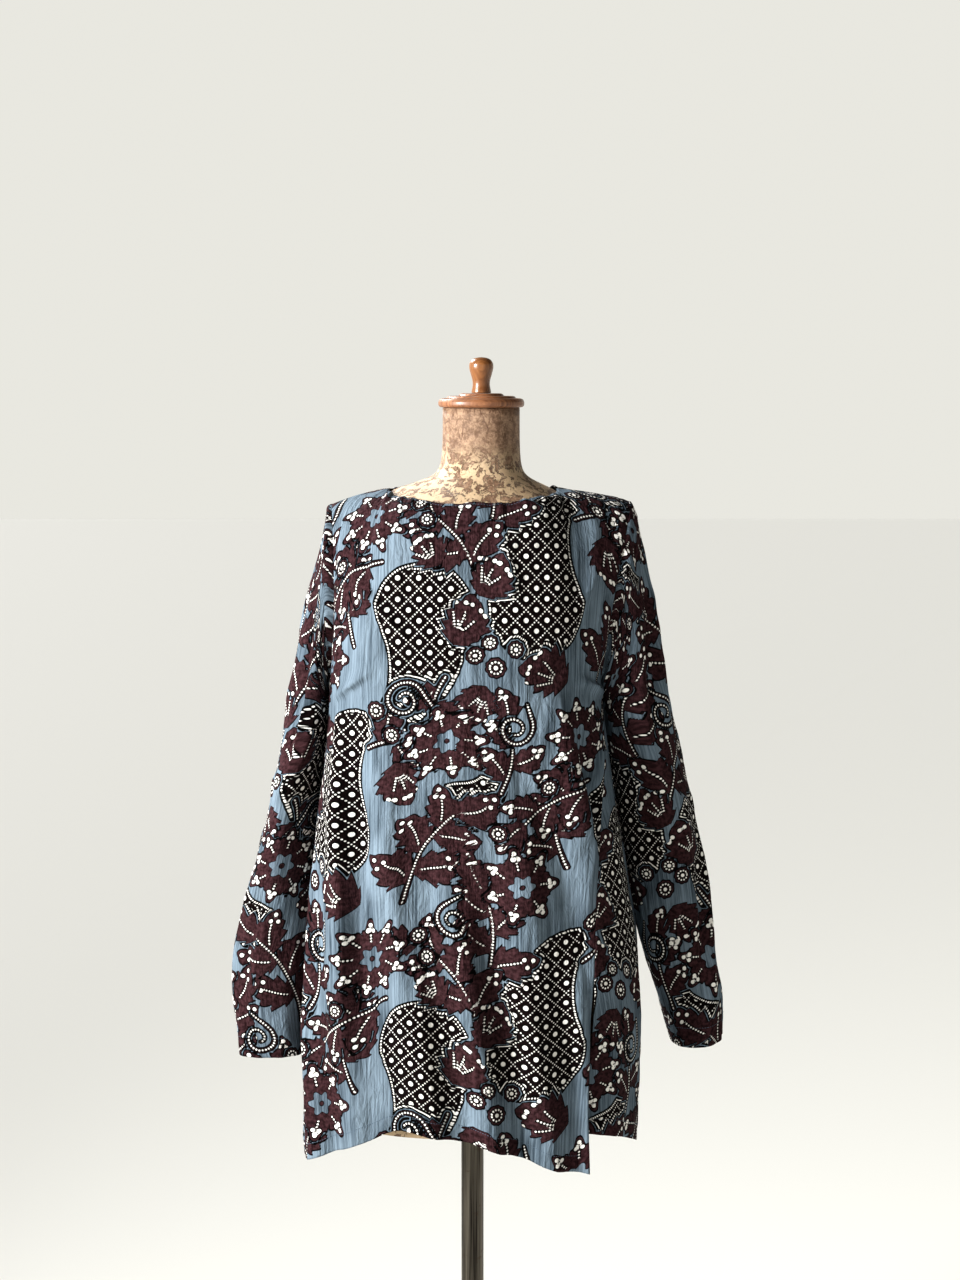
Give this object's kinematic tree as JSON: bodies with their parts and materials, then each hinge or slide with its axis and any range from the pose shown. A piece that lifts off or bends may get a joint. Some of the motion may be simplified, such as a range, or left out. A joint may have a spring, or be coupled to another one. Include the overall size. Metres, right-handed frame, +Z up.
{
  "type": "blouse on a dress form",
  "caption": "Long sleeved printed cotton pullover blouse with side vents, hanging on a limbless dress form on a steel pole.",
  "frame": {"origin": "middle of the base's underside on the floor", "axes": "+Z up along the pole, -Y out of the blouse's front, +X to the viewer's right"},
  "size_m": [0.5612, 0.3, 1.5365],
  "materials": {
    "cotton": "light crinkled cotton, printed",
    "papier_mache": "aged, mottled, dull",
    "turned_wood": "satin, reddish",
    "light_wood": "lacquered, orange",
    "aged_steel": "aged, streaked"
  },
  "bodies": {
    "root": {"front": "cotton", "back": "cotton", "sleeve_left": "cotton", "sleeve_right": "cotton", "torso": "papier_mache", "neck_cap": "turned_wood", "knob": "light_wood", "flange": "aged_steel", "pole": "aged_steel", "base": "aged_steel"}
  },
  "joints": []
}
